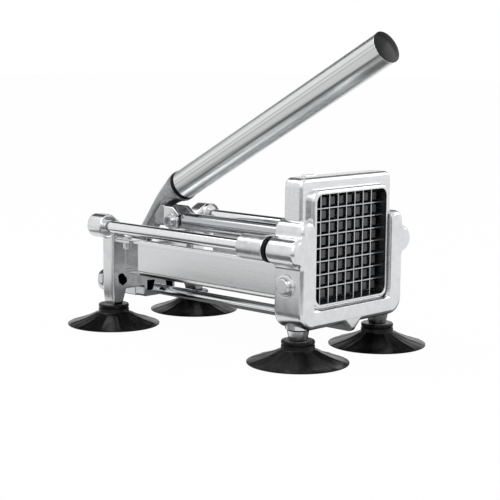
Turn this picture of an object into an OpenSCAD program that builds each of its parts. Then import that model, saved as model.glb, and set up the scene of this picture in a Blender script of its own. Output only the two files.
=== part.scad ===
// Lever french fry cutter on four suction feet, in millimetres.
// +Z is up, the cutting grid faces -Y and X runs across. The origin is on the table,
// below the middle of the whole cutter. The modules below work from the middle of the
// cutting opening: y from the front face of the front casting, z from the opening's centre.

/* [Overall] */
// Height of the opening's centre above the table
opening_height = 81.4; // [78:0.1:90]
// Distance from the front face of the front casting to the front face of the rear casting
casting_gap = 207; // [180:1:230]

/* [Cutting grid] */
// Clear width and height of the square cutting opening
opening_w = 79; // [74:0.5:82]
// Cells across and down the grid
cells = 8; // [6:1:12]
// Distance between two blades
cell_pitch = 9.525; // [6.35:0.005:12.7]
// Thickness of one blade
blade_t = 0.8; // [0.4:0.1:1.2]
// Depth of one blade from its front edge to its back edge
blade_depth = 10; // [6:0.5:14]
// Outer width of the cassette that holds the blades
cassette_w = 102; // [96:0.5:108]
// Thickness of the cassette plate
cassette_t = 17; // [14:0.5:20]
// Gap all round one pusher pin in its cell
pin_gap = 1.4; // [0.3:0.05:1.8]

/* [Castings] */
// Width of the front casting
casting_w = 115; // [108:0.5:124]
// Depth of the front casting
casting_depth = 27.5; // [24:0.5:32]
// Top of the front posts above the opening's centre
post_top = 22; // [14:0.5:30]
// Bottom of the front casting below the opening's centre
casting_drop = 56.4; // [52:0.1:62]
// Width of one rear leg
leg_w = 13; // [11:0.5:16]
// Depth of the rear casting
rear_depth = 12.7; // [10:0.1:16]

/* [Rods and tray] */
// Distance from the middle plane to a guide rod
rod_x = 57.8; // [54:0.1:62]
// Diameter of a guide rod
guide_rod_d = 9.6; // [8:0.1:12]
// Diameter of the tie rod under the tray
tie_rod_d = 8.5; // [7:0.1:10]
// Depth of the tie rod below the opening's centre
tie_rod_drop = 57.7; // [54:0.1:62]
// Diameter of a rod boss
boss_d = 19.8; // [16:0.1:24]
// Thickness of the tray sheet
sheet_t = 1; // [0.8:0.1:1.5]

/* [Lever] */
// Half of the carriage stroke: how far the link pin stands in front of the lever pivot
half_stroke = 70.5; // [60:0.5:75]
// Height of the link pin above the lever pivot
pin_rise = 57; // [50:0.5:65]
// Distance of the lever pivot behind the front face of the front casting
pivot_y = 255; // [240:1:265]
// Outside diameter of the handle tube
handle_d = 24; // [20:0.5:28]
// Length of the handle from the collar to the cap
handle_len = 232; // [180:1:260]
// Rise of the handle above the horizontal, with the cutter closed
handle_rise = 28.7; // [15:0.1:45]

/* [Feet] */
// Distance from the middle plane to a foot
foot_x = 45.3; // [40:0.1:52]
// Diameter of a suction cup at the table
cup_d = 74; // [60:1:84]
// Height of a suction cup with its collar
cup_h = 16.9; // [14:0.1:22]

/* [Hidden] */
$fn = 48;

// Fits: a shaft in its hole, and two flat faces that slide past each other
fit = 0.05;
slide_gap = 0.3;

// Front casting
corner_r = 13;
lip_window = 88;
boss_nose = 4;
lug_top_w = 16;
lug_bottom_w = 9;
lug_wall = 1.25;
rod_seat_y = 5.5;
stub_top_d = 17.6;
stub_bottom_d = 13.6;
stub_sink = 2.9;
side_pad_d = 17;
side_pad_t = 1.5;
side_bolt_d = 6;
side_bolt_y = 15.4;
side_bolt_z = -24.7;
side_head_d = 12;
side_head_t = 6;
tray_tab_x = 20;
tray_tab_w = 12;
tray_tab_reach = 8;

// Cassette and grid
blade_count = cells - 1;
cassette_y = 7.3;
cassette_top = cassette_w / 2 + 0.3;
cassette_bottom = -cassette_w / 2;
rim_w = 86;
rim_r = 8;
opening_r = 6;
cassette_r = 5;
rim_front = 2.6;
blade_front = 8.4;
blade_set_in = 1.5;
slot_side = 0.05;
groove_w = cassette_w + 2 * slide_gap;
groove_slack = 0.1;
groove_front = cassette_y - groove_slack;
groove_back = cassette_y + cassette_t + groove_slack;
top_tab_x = -34;
top_tab_w = 12;
top_tab_t = 4;
top_tab_h = 1.8;

// Pusher and carriage, closed
pin_w = cell_pitch - blade_t - 2 * pin_gap;
pin_front = blade_front + 1.5;
pin_back = 20;
pusher_w = cells * cell_pitch + 0.2;
plate_front = 27;
plate_back = 34;
plate_w = 74;
plate_screw_at = 28;
plate_screw_d = 5;
plate_head_d = 9;
plate_head_t = 3;
plate_screw_bite = 3.5;
rib_x = 14;
rib_t = 4;
rib_reach = 34;
sleeve_arm_low = -7;
sleeve_arm_high = 8;
sleeve_arm_t = 10;
sleeve_d = 18;
bumper_front = casting_depth + 0.1;
bumper_t = 3.6;
sleeve_front = bumper_front + bumper_t + 0.2;
sleeve_back = 56.5;
link_front_y = 56;
carriage_cheek_in = 6;
carriage_cheek_out = 12;
carriage_eye_d = 17;
shoulder_screw_d = 6;
shoulder_head_d = 11;
shoulder_head_t = 3.5;

// Rear casting
rear_y = casting_gap;
rear_back = rear_y + rear_depth;
member_top = -35.5;
member_bottom = -53.5;
web_top = -11;
web_set_back = 4;
web_t = 4;
lever_notch_w = 22;
lever_notch_h = 7;
leg_top = 3;
leg_knee = -52;
leg_taper = 1;
rear_boss_proud = 2.7;
rear_boss_len = 17;
rear_boss_nose = 3;
fork_bottom = -62.3;
fork_top = -44;
fork_out = 17.5;
fork_in = 9;
fork_root = 230;
ear_half = 4.25;
ear_reach = 17;
ear_top = web_top;
ear_t = 2.4;
pocket_depth = 6;
tie_seat = 15;
leg_bolt_d = 6;
leg_head_d = 14.6;
leg_head_t = 5.8;
leg_bolt_z = -44.6;

// Tray
tray_w = 85;
tray_floor = -40;
tray_back = 188;
tray_corner_r = 5;
flange_z = -10;
flange_out = tray_w / 2 + 4.5;
hem = 3;
flange_stop = 20;
rear_tab_out = tray_w / 2 + 6.5;
tray_screw_x = tray_w / 2 + 2.8;
tray_screw_y = rear_y - 10;
tray_screw_d = 4;
tray_head_d = 7.5;
tray_head_t = 2.6;
tray_nut_d = 6.6;
tray_nut_t = 4.5;

// Lever geometry in the y-z plane
pivot_z = -55;
pin_y = pivot_y - half_stroke;
pin_z = pivot_z + pin_rise;
eye_r = 11;
cheek_r = 10.5;
cheek_in = 6.2;
cheek_out = 12;
cheek_foot = 63;
arm_w = 15;
arm_t = 12;
grip_y = 178.9;
grip_z = 31.1;
handle_turn = 90 - handle_rise;
socket_back = 10;
arm_end_y = grip_y + socket_back * sin(handle_turn);
arm_end_z = grip_z - socket_back * cos(handle_turn);
arm_turn = atan2(pivot_y - arm_end_y, arm_end_z - pivot_z);
arm_len = norm([pivot_y - arm_end_y, arm_end_z - pivot_z]);
seat_len = 7;
neck_len = 15;
plug_len = 48;
collar_t = 3;
tube_bore = handle_d - 3.2;
cap_r = handle_d / 2 + 0.2;
cap_rim = 0.8;
cap_dome = 1.9;
cap_plug = 14;
link_bar_d = 14;
link_eye_t = 10;
link_eye_r = 7;
pivot_pin_d = 8;
pivot_head_d = 13;
pivot_head_t = 4.5;
pivot_nut_t = 6.5;
link_pin_d = 7;
washer_d = 14.4;
washer_t = 1.5;
link_head_d = 11.4;
link_head_t = 4.7;
link_nut_t = 5.2;
link_key = 5;
link_key_depth = 2.8;

// Feet, from the table
foot_z = cup_h - opening_height;
collar_h = 6;
collar_r = 12.2;
foot_y_front = casting_depth / 2;
foot_y_rear = rear_y + rear_depth / 2;
foot_screw_d = 6;
foot_screw_reach = stub_sink - casting_drop - foot_z - 2.5;
foot_head_d = 12;
foot_head_t = 3;
foot_head_z = 2.9;

// The whole cutter's reach along y sets the origin half way between its ends
cap_y = grip_y - handle_len * sin(handle_turn);
cap_reach = cap_rim * sin(handle_turn) + norm([cap_r * cos(handle_turn), cap_dome * sin(handle_turn)]);
reach_front = cap_y - cap_reach;
reach_back = pivot_y + eye_r;
front_y = -(reach_front + reach_back) / 2;

aluminium = [0.86, 0.87, 0.88];
grey_cast = [0.62, 0.63, 0.64];
steel = [0.78, 0.79, 0.8];
black_plastic = [0.1, 0.1, 0.11];
black_rubber = [0.07, 0.07, 0.08];

// ---- helpers ----

module placed() translate([0, front_y, opening_height]) children();

module block(low, high) translate(low) cube(high - low);

module both_sides() for (side = [-1, 1]) scale([side, 1, 1]) children();

module bar_y(d, y0, y1, x = 0, z = 0) translate([x, y0, z]) rotate([-90, 0, 0]) cylinder(d = d, h = y1 - y0);

module bar_x(d, x0, x1, y, z) translate([x0, y, z]) rotate([0, 90, 0]) cylinder(d = d, h = x1 - x0);

module bar_z(d, z0, z1, x, y) translate([x, y, z0]) cylinder(d = d, h = z1 - z0);

module hex_x(flats, x0, x1, y, z)
    translate([x0, y, z]) rotate([0, 90, 0]) cylinder(d = flats / cos(30), h = x1 - x0, $fn = 6);

module rounded(r) offset(r = r) offset(delta = -r) children();

// A flat outline in x-z, given thickness from y0 to y1
module extruded_y(y0, y1) translate([0, y1, 0]) rotate([90, 0, 0]) linear_extrude(y1 - y0) children();

module box_2d(x0, z0, x1, z1) translate([x0, z0]) square([x1 - x0, z1 - z0]);

// A cylinder along +Z with one rounded end at the top
module nosed(r, h, nose) rotate_extrude() {
    square([r, h - nose]);
    square([r - nose, h]);
    translate([r - nose, h - nose]) intersection() {
        circle(nose, $fn = 32);
        square(nose);
    }
}

// ---- front casting ----

// A rail with two round-topped posts, open above the sill between them
module front_outline(window, sill) intersection() {
    rounded(corner_r) box_2d(-casting_w / 2, -casting_drop, casting_w / 2, casting_drop);
    union() {
        box_2d(-casting_w / 2, -casting_drop, casting_w / 2, sill);
        both_sides() rounded((casting_w - window) / 4 - 0.05)
            box_2d(window / 2, -casting_drop, casting_w / 2, post_top);
    }
}

module front_body() {
    lug_bottom = -tie_rod_drop - tie_rod_d / 2 - lug_wall;
    extruded_y(0, groove_front) front_outline(lip_window, -lip_window / 2);
    extruded_y(groove_front, groove_back) front_outline(groove_w, cassette_bottom);
    extruded_y(groove_back, casting_depth) front_outline(lip_window, -lip_window / 2);
    extruded_y(0, casting_depth) polygon([[-lug_top_w / 2, -casting_drop + 1], [-lug_bottom_w / 2, lug_bottom],
        [lug_bottom_w / 2, lug_bottom], [lug_top_w / 2, -casting_drop + 1]]);
    both_sides() {
        translate([rod_x, casting_depth, 0]) rotate([90, 0, 0])
            nosed(boss_d / 2, casting_depth + 0.5, boss_nose);
        translate([foot_x, foot_y_front, foot_z])
            cylinder(d1 = stub_bottom_d, d2 = stub_top_d, h = stub_sink - casting_drop - foot_z);
        bar_x(side_pad_d, casting_w / 2 - 1, casting_w / 2 + side_pad_t, side_bolt_y, side_bolt_z);
        block([tray_tab_x, casting_depth - 1, -lip_window / 2 - 1],
            [tray_tab_x + tray_tab_w, casting_depth + tray_tab_reach, tray_floor]);
    }
}

module front_frame() color(aluminium) placed() difference() {
    front_body();
    block([-groove_w / 2, groove_front, cassette_bottom], [groove_w / 2, groove_back, post_top + 1]);
    both_sides() {
        bar_y(guide_rod_d + 2 * fit, rod_seat_y - 0.5, casting_depth + 1, rod_x, 0);
        bar_x(side_bolt_d + 2 * fit, groove_w / 2 - 1, casting_w / 2 + 3, side_bolt_y, side_bolt_z);
        bar_z(foot_screw_d + 2 * fit, foot_z - 1, foot_z + foot_screw_reach + 0.5, foot_x, foot_y_front);
    }
    bar_y(tie_rod_d + 2 * fit, rod_seat_y - 0.5, casting_depth + 1, 0, -tie_rod_drop);
}

module side_bolts() color(steel) placed() both_sides() {
    head_x = casting_w / 2 + side_pad_t;
    bar_x(side_bolt_d, cassette_w / 2 + 0.1, head_x + 0.5, side_bolt_y, side_bolt_z);
    bar_x(side_head_d, head_x, head_x + side_head_t, side_bolt_y, side_bolt_z);
}

// ---- cassette and blades ----

function blade_at(n) = (n - (blade_count + 1) / 2) * cell_pitch;

module vertical_blade(n, grow = 0) {
    half = opening_w / 2 + blade_set_in;
    block([blade_at(n) - blade_t / 2 - grow, blade_front, -half],
        [blade_at(n) + blade_t / 2 + grow, blade_front + blade_depth, half]);
}

module horizontal_blade(n, grow = 0) {
    half = opening_w / 2 + blade_set_in;
    block([-half, blade_front, blade_at(n) - blade_t / 2 - grow],
        [half, blade_front + blade_depth, blade_at(n) + blade_t / 2 + grow]);
}

// The blades cross by half laps: uprights are slotted at the back, level ones at the front
module blade_v(n) color(steel) placed() difference() {
    vertical_blade(n);
    for (m = [1:blade_count]) block(
        [blade_at(n) - blade_t, blade_front + blade_depth / 2, blade_at(m) - blade_t / 2 - slot_side],
        [blade_at(n) + blade_t, blade_front + blade_depth + 1, blade_at(m) + blade_t / 2 + slot_side]);
}

module blade_h(n) color(steel) placed() difference() {
    horizontal_blade(n);
    for (m = [1:blade_count]) block(
        [blade_at(m) - blade_t / 2 - slot_side, blade_front - 1, blade_at(n) - blade_t],
        [blade_at(m) + blade_t / 2 + slot_side, blade_front + blade_depth / 2, blade_at(n) + blade_t]);
}

module cassette_frame() color(aluminium) placed() difference() {
    union() {
        extruded_y(cassette_y, cassette_y + cassette_t)
            rounded(cassette_r) box_2d(-cassette_w / 2, cassette_bottom, cassette_w / 2, cassette_top);
        extruded_y(rim_front, cassette_y + 1) rounded(rim_r) square(rim_w, center = true);
        block([top_tab_x, cassette_y + cassette_t - top_tab_t - 0.5, cassette_top - 1],
            [top_tab_x + top_tab_w, cassette_y + cassette_t - 0.5, cassette_top + top_tab_h]);
    }
    extruded_y(rim_front - 1, cassette_y + cassette_t + 1) rounded(opening_r) square(opening_w, center = true);
    for (n = [1:blade_count]) {
        vertical_blade(n, slot_side);
        horizontal_blade(n, slot_side);
    }
}

// ---- pusher ----

module pusher_block() color(black_plastic) placed() difference() {
    intersection() {
        union() {
            for (i = [1:cells], j = [1:cells]) translate([blade_at(i - 0.5), 0, blade_at(j - 0.5)])
                block([-pin_w / 2, pin_front, -pin_w / 2], [pin_w / 2, pin_back + 1, pin_w / 2]);
            block([-pusher_w / 2, pin_back, -pusher_w / 2], [pusher_w / 2, plate_front, pusher_w / 2]);
        }
        extruded_y(pin_front - 1, plate_front) rounded(opening_r - 1) square(pusher_w, center = true);
    }
    pusher_screw_spots() bar_y(plate_screw_d + 2 * fit, plate_front - plate_screw_bite - 0.5, plate_front + 1);
}

module pusher_screw_spots()
    for (x = [-plate_screw_at, plate_screw_at], z = [-plate_screw_at, plate_screw_at])
        translate([x, 0, z]) children();

module pusher_screws() color(steel) placed() pusher_screw_spots() {
    bar_y(plate_screw_d, plate_front - plate_screw_bite, plate_back + 0.5);
    bar_y(plate_head_d, plate_back, plate_back + plate_head_t);
}

module carriage() color(aluminium) placed() difference() {
    union() {
        extruded_y(plate_front, plate_back) rounded(4) square([plate_w, plate_w], center = true);
        both_sides() {
            bar_y(sleeve_d, sleeve_front, sleeve_back, rod_x, 0);
            block([plate_w / 2 - 4, sleeve_front + slide_gap, sleeve_arm_low],
                [rod_x - guide_rod_d / 2 + 1, plate_back + sleeve_arm_t, sleeve_arm_high]);
            hull() {
                block([carriage_cheek_in, plate_back - 1, -10], [carriage_cheek_out, plate_back, 13]);
                bar_x(carriage_eye_d, carriage_cheek_in, carriage_cheek_out, link_front_y, pin_z);
            }
            block([rib_x, plate_back - 1, -rib_reach], [rib_x + rib_t, plate_back + 4, rib_reach]);
        }
    }
    both_sides() {
        bar_y(guide_rod_d + 2 * fit, sleeve_front - 1, sleeve_back + 1, rod_x, 0);
        bar_x(shoulder_screw_d + 2 * fit, carriage_cheek_in - 1, carriage_cheek_out + 1, link_front_y, pin_z);
    }
    pusher_screw_spots() bar_y(plate_screw_d + 2 * fit, plate_front - 1, plate_back + 1);
}

// Two shoulder screws, one in each cheek: the link swings between their ends
module carriage_pins() color(steel) placed() both_sides() {
    bar_x(shoulder_screw_d, carriage_cheek_in + 0.2, carriage_cheek_out + 0.5, link_front_y, pin_z);
    bar_x(shoulder_head_d, carriage_cheek_out, carriage_cheek_out + shoulder_head_t, link_front_y, pin_z);
}

// ---- rods ----

module guide_rod(side) color(steel) placed() bar_y(guide_rod_d, rod_seat_y, rear_back - 3, side * rod_x, 0);

module bumper(side) color(black_rubber) placed() difference() {
    bar_y(boss_d - 0.6, bumper_front, bumper_front + bumper_t, side * rod_x, 0);
    bar_y(guide_rod_d + 2 * fit, bumper_front - 1, bumper_front + bumper_t + 1, side * rod_x, 0);
}

module tie_rod() color(steel) placed() bar_y(tie_rod_d, rod_seat_y, rear_y + tie_seat, 0, -tie_rod_drop);

// ---- rear casting ----

// The two outlines of the pockets, as seen on the near half of the front face
corner_pocket = [[-44.3, -39.6], [-41, -39.6], [-35.2, -45.1], [-36.8, -49.2], [-42.2, -49.6],
    [-45.5, -46.8], [-46, -42]];
middle_pocket = [[-13.6, -48.2], [-4.9, -49], [-7.2, -55], [-10, -56.4], [-14.6, -55.8]];

module rear_leg() {
    block([foot_x - leg_w / 2, rear_y, leg_knee], [foot_x + leg_w / 2, rear_back, leg_top]);
    hull() {
        block([foot_x - leg_w / 2, rear_y, leg_knee], [foot_x + leg_w / 2, rear_back, leg_knee + 1]);
        block([foot_x - leg_w / 2 + leg_taper, rear_y + leg_taper, foot_z],
            [foot_x + leg_w / 2 - leg_taper, rear_back - leg_taper, foot_z + 1]);
    }
}

module rear_body() {
    extruded_y(rear_y, rear_back) {
        box_2d(-foot_x, member_bottom, foot_x, member_top);
        rounded(2) box_2d(-fork_out, fork_bottom, fork_out, member_top);
    }
    block([-foot_x, rear_y + web_set_back, member_top - 1], [foot_x, rear_y + web_set_back + web_t, web_top]);
    both_sides() {
        rear_leg();
        translate([rod_x, rear_y - rear_boss_proud, 0]) rotate([-90, 0, 0])
            nosed(boss_d / 2, rear_boss_len, rear_boss_nose);
        block([tray_screw_x - ear_half, rear_y - ear_reach, ear_top - ear_t],
            [tray_screw_x + ear_half, rear_y + 1, ear_top]);
        block([fork_in, rear_back - 1, fork_bottom], [fork_out, pivot_y, fork_top]);
        bar_x(fork_top - fork_bottom, fork_in, fork_out, pivot_y, (fork_top + fork_bottom) / 2);
    }
    block([-fork_out, rear_back - 1, fork_bottom], [fork_out, fork_root, fork_top]);
}

module rear_frame() color(aluminium) placed() difference() {
    rear_body();
    both_sides() {
        bar_y(guide_rod_d + 2 * fit, rear_y - 5, rear_back - 2.5, rod_x, 0);
        bar_z(foot_screw_d + 2 * fit, foot_z - 1, foot_z + foot_screw_reach + 0.5, foot_x, foot_y_rear);
        bar_x(pivot_pin_d + 2 * fit, fork_in - 1, fork_out + 1, pivot_y, pivot_z);
        bar_y(leg_bolt_d + 2 * fit, rear_y + pocket_depth, rear_back + 1, foot_x, leg_bolt_z);
        bar_z(tray_screw_d + 2 * fit, ear_top - ear_t - 1, ear_top + 1, tray_screw_x, tray_screw_y);
        extruded_y(rear_y - 1, rear_y + pocket_depth) rounded(1) polygon(corner_pocket);
        extruded_y(rear_y - 1, rear_y + pocket_depth) rounded(1) polygon(middle_pocket);
    }
    bar_y(tie_rod_d + 2 * fit, rear_y - 1, rear_y + tie_seat + 0.5, 0, -tie_rod_drop);
    block([-lever_notch_w / 2, rear_y + web_set_back - 1, web_top - lever_notch_h],
        [lever_notch_w / 2, rear_y + web_set_back + web_t + 1, web_top + 1]);
}

module leg_bolts() color(steel) placed() both_sides() {
    bar_y(leg_bolt_d, rear_y + pocket_depth + 0.5, rear_back + 0.5, foot_x, leg_bolt_z);
    translate([foot_x, rear_back, leg_bolt_z]) rotate([-90, 0, 0])
        cylinder(d = leg_head_d, h = leg_head_t, $fn = 6);
}

module pivot_pin() color(steel) placed() {
    bar_x(pivot_pin_d, -fork_out - 1, fork_out + pivot_nut_t + 1.5, pivot_y, pivot_z);
    bar_x(pivot_head_d, -fork_out - pivot_head_t, -fork_out, pivot_y, pivot_z);
}

module pivot_nut() color(steel) placed() difference() {
    hex_x(pivot_head_d, fork_out, fork_out + pivot_nut_t, pivot_y, pivot_z);
    bar_x(pivot_pin_d + 2 * fit, fork_out - 1, fork_out + pivot_nut_t + 1, pivot_y, pivot_z);
}

// ---- tray ----

module tray_section(grow) offset(delta = grow)
    rounded(tray_corner_r) box_2d(-tray_w / 2, tray_floor, tray_w / 2, -tray_floor);

module tray() color(steel) placed() difference() {
    tray_front = casting_depth + 0.1;
    flange_back = rear_y - flange_stop;
    union() {
        extruded_y(tray_front, tray_back) intersection() {
            tray_section(0);
            box_2d(-tray_w, 2 * tray_floor, tray_w, flange_z);
        }
        extruded_y(tray_back - 1, rear_y - 1.5)
            box_2d(-tray_w / 2 + 6, tray_floor, tray_w / 2 - 6, tray_floor + sheet_t);
        both_sides() {
            block([tray_w / 2 - 1, tray_front, flange_z - sheet_t], [flange_out, flange_back, flange_z]);
            block([flange_out - sheet_t, tray_front, flange_z - hem], [flange_out, flange_back, flange_z]);
            block([tray_w / 2 - 1.5, flange_back - 1, flange_z - sheet_t],
                [rear_tab_out, rear_y - 1, flange_z]);
        }
    }
    extruded_y(casting_depth - 1, tray_back + 1) intersection() {
        tray_section(-sheet_t);
        box_2d(-tray_w, 2 * tray_floor, tray_w, flange_z + 1);
    }
    both_sides() bar_z(tray_screw_d + 2 * fit, flange_z - 2, flange_z + 1, tray_screw_x, tray_screw_y);
}

module tray_screws() color(steel) placed() both_sides() {
    bar_z(tray_screw_d, ear_top - ear_t - tray_nut_t - 1.5, flange_z + 0.5, tray_screw_x, tray_screw_y);
    bar_z(tray_head_d, flange_z, flange_z + tray_head_t, tray_screw_x, tray_screw_y);
}

module tray_nuts() color(steel) placed() both_sides() difference() {
    bar_z(tray_nut_d, ear_top - ear_t - tray_nut_t, ear_top - ear_t, tray_screw_x, tray_screw_y);
    bar_z(tray_screw_d + 2 * fit, ear_top - ear_t - tray_nut_t - 1, ear_top, tray_screw_x, tray_screw_y);
}

// ---- lever ----

// The handle's own frame: +Z runs from the collar up the tube to the cap
module on_handle() translate([0, grip_y, grip_z]) rotate([handle_turn, 0, 0]) children();

module lever_body() {
    translate([0, pivot_y, pivot_z]) rotate([arm_turn, 0, 0])
        linear_extrude(arm_len) rounded(4) square([arm_w, arm_t], center = true);
    bar_x(2 * eye_r, -fork_in + slide_gap, fork_in - slide_gap, pivot_y, pivot_z);
    on_handle() {
        translate([0, 0, -seat_len]) cylinder(r = handle_d / 2 + 0.2, h = seat_len - collar_t / 2);
        translate([0, 0, -seat_len - neck_len])
            cylinder(r1 = arm_t / 2, r2 = handle_d / 2 + 0.2, h = neck_len);
        translate([0, 0, -3]) cylinder(d = tube_bore - 2 * fit, h = plug_len);
    }
    both_sides() hull() {
        bar_x(2 * cheek_r, cheek_in, cheek_out, pin_y, pin_z);
        bar_x(arm_t, cheek_in, cheek_out - 3, pivot_y - cheek_foot * tan(arm_turn), pivot_z + cheek_foot);
    }
}

module lever_arm() color(grey_cast) placed() difference() {
    lever_body();
    bar_x(pivot_pin_d + 2 * fit, -fork_in, fork_in, pivot_y, pivot_z);
    bar_x(link_pin_d + 2 * fit, -cheek_out - 1, cheek_out + 1, pin_y, pin_z);
}

module link_bar() color(steel) placed() difference() {
    union() {
        for (y = [link_front_y, pin_y]) bar_x(2 * link_eye_r, -link_eye_t / 2, link_eye_t / 2, y, pin_z);
        block([-link_eye_t / 2, link_front_y, pin_z - link_eye_r], [link_eye_t / 2, pin_y, pin_z + link_eye_r]);
        bar_y(link_bar_d, link_front_y + 14, pin_y - 17, 0, pin_z);
    }
    for (y = [link_front_y, pin_y]) bar_x(link_pin_d + 2 * fit, -link_eye_t, link_eye_t, y, pin_z);
}

module link_pin() color(steel) placed() difference() {
    head_x = -cheek_out - washer_t - 0.1;
    union() {
        bar_x(link_pin_d, head_x - 0.5, cheek_out + washer_t + link_nut_t + 0.8, pin_y, pin_z);
        bar_x(link_head_d, head_x - link_head_t, head_x, pin_y, pin_z);
    }
    hex_x(link_key, head_x - link_head_t - 1, head_x - link_head_t + link_key_depth, pin_y, pin_z);
}

module link_washers() color(steel) placed() both_sides() difference() {
    bar_x(washer_d, cheek_out, cheek_out + washer_t, pin_y, pin_z);
    bar_x(link_pin_d + 2 * fit, cheek_out - 1, cheek_out + washer_t + 1, pin_y, pin_z);
}

module link_nut() color(steel) placed() difference() {
    nut_x = cheek_out + washer_t + 0.1;
    hex_x(11, nut_x, nut_x + link_nut_t, pin_y, pin_z);
    bar_x(link_pin_d + 2 * fit, nut_x - 1, nut_x + link_nut_t + 1, pin_y, pin_z);
}

module handle_collar() color(black_plastic) placed() on_handle() difference() {
    translate([0, 0, -collar_t / 2]) cylinder(r = handle_d / 2 + 0.4, h = collar_t);
    translate([0, 0, -collar_t]) cylinder(d = tube_bore, h = 2 * collar_t);
}

module handle_tube() color(steel) placed() on_handle() difference() {
    translate([0, 0, collar_t / 2]) cylinder(d = handle_d, h = handle_len - collar_t / 2, $fn = 64);
    translate([0, 0, -1]) cylinder(d = tube_bore, h = handle_len + 2, $fn = 64);
}

module handle_cap() color(black_plastic) placed() on_handle() translate([0, 0, handle_len]) {
    translate([0, 0, -cap_plug]) cylinder(d = tube_bore - 2 * fit, h = cap_plug + cap_rim);
    rotate_extrude() {
        square([cap_r, cap_rim]);
        translate([0, cap_rim]) intersection() {
            scale([1, cap_dome / cap_r]) circle(cap_r);
            square(cap_r);
        }
    }
}

// ---- feet ----

module foot_spot(side, y) placed() translate([side * foot_x, y, -opening_height]) children();

cup_profile = [[0, cup_h - 11], [8, cup_h - 11], [cup_d / 2 - 2.5, 0], [cup_d / 2, 0], [cup_d / 2, 0.9],
    [collar_r, cup_h - collar_h], [collar_r, cup_h - 3.4], [collar_r - 0.9, cup_h - 3.2],
    [collar_r - 0.9, cup_h - 2.6], [collar_r, cup_h - 2.4], [collar_r, cup_h - 0.6],
    [collar_r - 0.6, cup_h], [0, cup_h]];

module cup(side, y) color(black_rubber) foot_spot(side, y) difference() {
    rotate_extrude($fn = 72) polygon(cup_profile);
    translate([0, 0, -1]) cylinder(d = foot_screw_d + 2 * fit, h = cup_h + 2);
}

module foot_screws() color(steel) for (side = [-1, 1], y = [foot_y_front, foot_y_rear]) foot_spot(side, y) {
    translate([0, 0, foot_head_z]) cylinder(d = foot_head_d, h = foot_head_t);
    translate([0, 0, foot_head_z + 1])
        cylinder(d = foot_screw_d, h = cup_h + foot_screw_reach - foot_head_z - 1);
}

// ---- nodes ----

front_frame();
cassette_frame();
blade_v(1);  // blade_v1
blade_v(2);  // blade_v2
blade_v(3);  // blade_v3
blade_v(4);  // blade_v4
blade_v(5);  // blade_v5
blade_v(6);  // blade_v6
blade_v(7);  // blade_v7
blade_h(1);  // blade_h1
blade_h(2);  // blade_h2
blade_h(3);  // blade_h3
blade_h(4);  // blade_h4
blade_h(5);  // blade_h5
blade_h(6);  // blade_h6
blade_h(7);  // blade_h7
pusher_block();
pusher_screws();
carriage();
carriage_pins();
guide_rod(-1);  // guide_rod_near
guide_rod(1);  // guide_rod_far
bumper(-1);  // bumper_near
bumper(1);  // bumper_far
tie_rod();
rear_frame();
leg_bolts();
tray();
tray_screws();
tray_nuts();
side_bolts();
pivot_pin();
pivot_nut();
lever_arm();
link_bar();
link_pin();
link_washers();
link_nut();
handle_collar();
handle_tube();
handle_cap();
cup(-1, foot_y_front);  // cup_front_near
cup(1, foot_y_front);  // cup_front_far
cup(-1, foot_y_rear);  // cup_rear_near
cup(1, foot_y_rear);  // cup_rear_far
foot_screws();
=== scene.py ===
# Lever french fry cutter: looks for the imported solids, in metres, in their own frame.
# Sizes in the dictionaries are in millimetres, measured from the middle of the cutting
# opening: x across, y back from the front face of the front casting, z up.
import math

import bpy
from mathutils import Matrix, Vector


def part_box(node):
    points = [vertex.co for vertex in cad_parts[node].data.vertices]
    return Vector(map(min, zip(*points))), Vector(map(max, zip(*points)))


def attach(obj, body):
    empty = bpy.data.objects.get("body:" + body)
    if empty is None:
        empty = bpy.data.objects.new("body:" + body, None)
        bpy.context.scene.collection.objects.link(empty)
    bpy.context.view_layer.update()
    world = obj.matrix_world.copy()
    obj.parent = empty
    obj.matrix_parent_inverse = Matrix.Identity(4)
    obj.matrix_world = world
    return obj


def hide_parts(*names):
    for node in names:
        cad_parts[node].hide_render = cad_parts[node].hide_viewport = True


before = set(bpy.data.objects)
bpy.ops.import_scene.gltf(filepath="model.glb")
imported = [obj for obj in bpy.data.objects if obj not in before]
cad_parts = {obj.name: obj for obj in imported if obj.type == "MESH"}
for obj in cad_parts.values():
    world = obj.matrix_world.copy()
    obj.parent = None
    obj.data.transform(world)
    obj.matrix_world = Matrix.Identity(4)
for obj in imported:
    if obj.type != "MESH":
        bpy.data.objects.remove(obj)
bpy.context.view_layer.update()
print("frame loaded:", len(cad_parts), "nodes")

mm = 0.001
rodLow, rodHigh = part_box("guide_rod_near")
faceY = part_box("cassette_frame")[0].y - 2.6 * mm    # the cassette's rim stands 2.6 mm behind the face
middleZ = (rodLow.z + rodHigh.z) / 2                # the guide rods lie level with the opening's middle


def at(x, y, z):
    return Vector((x * mm, faceY + y * mm, middleZ + z * mm))


def reach(node):
    # A node's lowest and highest corner in millimetres from the opening's middle
    low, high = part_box(node)
    offset = Vector((0, faceY, middleZ))
    return (low - offset) / mm, (high - offset) / mm


def nothingSelected():
    if bpy.context.mode != "OBJECT":
        bpy.ops.object.mode_set(mode="OBJECT")
    bpy.ops.object.select_all(action="DESELECT")


def chosen(piece):
    nothingSelected()
    piece.select_set(True)
    bpy.context.view_layer.objects.active = piece
    return piece


def settled(piece):
    # The place goes into the mesh and the object stays at the origin
    chosen(piece)
    bpy.ops.object.transform_apply(location=True, rotation=True, scale=True)
    return piece


def outward(piece):
    chosen(piece)
    bpy.ops.object.mode_set(mode="EDIT")
    bpy.ops.mesh.select_all(action="SELECT")
    bpy.ops.mesh.remove_doubles(threshold=0.005 * mm)
    bpy.ops.mesh.normals_make_consistent(inside=False)
    bpy.ops.object.mode_set(mode="OBJECT")
    return piece


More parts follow.
